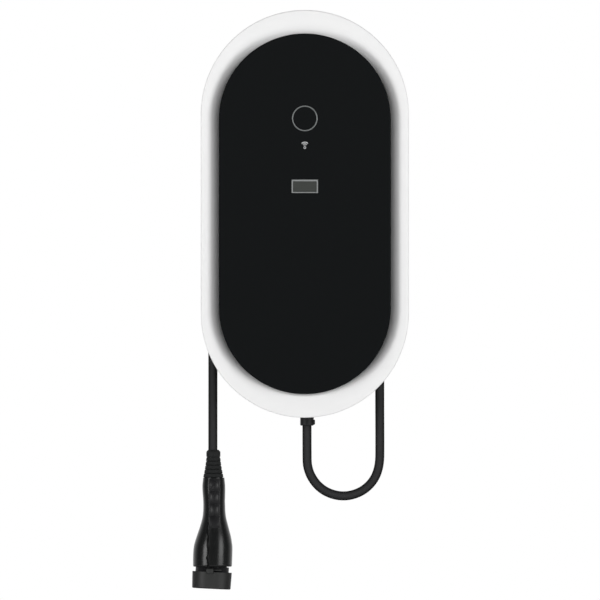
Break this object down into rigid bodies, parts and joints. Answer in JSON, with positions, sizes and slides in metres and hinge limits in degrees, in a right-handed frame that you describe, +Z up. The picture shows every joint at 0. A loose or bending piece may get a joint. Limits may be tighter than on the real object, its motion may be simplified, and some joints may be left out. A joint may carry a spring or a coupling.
{
  "type": "ev wallbox",
  "caption": "Wall-mounted vehicle charging station: white stadium housing, floating black front panel, cable wound on a rear spool and a capped connector.",
  "frame": {"origin": "centre of the four wall-fixing holes, in the plane of the wall", "axes": "+Z up, +Y into the wall, +X to the right when facing the front"},
  "size_m": [0.2609, 0.1253, 0.6976],
  "materials": {
    "white_shell": "satin",
    "black_panel": "gloss",
    "black_plastic": "satin",
    "light_ring": "satin",
    "display_frame": "satin",
    "display_window": "gloss",
    "display_screen": "satin",
    "circuit_board": "satin",
    "relay_case": "satin",
    "meter_case": "satin",
    "latch_plastic": "satin",
    "terminal_case": "satin",
    "zinc_steel": "satin",
    "screw_steel": "satin",
    "contact_metal": "satin",
    "seal_rubber": "matte",
    "gland_plastic": "satin",
    "cable_sheath": "satin",
    "connector_shell": "satin",
    "grip_rubber": "satin",
    "insert_plastic": "satin",
    "cap_rubber": "satin"
  },
  "bodies": {
    "root": {"wall_bracket": "zinc_steel", "bracket_screws": "screw_steel", "rear_housing": "white_shell", "housing_gasket": "seal_rubber", "front_shell": "white_shell", "housing_screws": "screw_steel", "supply_grommet": "seal_rubber", "panel_carrier": "black_plastic", "carrier_screws": "screw_steel", "front_panel": "black_panel", "status_ring": "light_ring", "status_board": "circuit_board", "display_bezel": "display_frame", "display_window": "display_window", "display_module": "display_screen", "reader_board": "circuit_board", "reader_screws": "screw_steel", "main_board": "circuit_board", "board_screws": "screw_steel", "power_relays": "relay_case", "fault_current_sensor": "relay_case", "board_spacers": "contact_metal", "communication_board": "circuit_board", "din_rail": "zinc_steel", "energy_meter": "meter_case", "supply_terminal_block": "terminal_case", "terminal_screws": "screw_steel", "gland_body": "gland_plastic", "gland_locknut": "gland_plastic", "gland_seal": "seal_rubber", "gland_cap_nut": "gland_plastic", "gland_screw": "screw_steel", "cable_clamp": "gland_plastic", "clamp_screws": "screw_steel", "cable_tail": "cable_sheath", "cable_loop": "cable_sheath", "cable_winding": "cable_sheath", "cable_drop": "cable_sheath", "connector_boot": "grip_rubber", "connector_left_half": "connector_shell", "connector_right_half": "connector_shell", "connector_grip_pads": "grip_rubber", "connector_screws": "screw_steel", "connector_insert": "insert_plastic", "power_contacts": "contact_metal", "signal_contacts": "contact_metal"},
    "cap": {"connector_cap": "cap_rubber"},
    "latch": {"meter_latch": "latch_plastic"}
  },
  "joints": [
    {"name": "cap_pull", "type": "slide", "parent": "root", "child": "cap", "axis": [-0.0489, 0, -0.9988], "range_m": [0, 0.03]},
    {"name": "latch_slide", "type": "slide", "parent": "root", "child": "latch", "axis": [0, 0, -1], "range_m": [0, 0.004], "stiffness_N_per_m": 400}
  ]
}
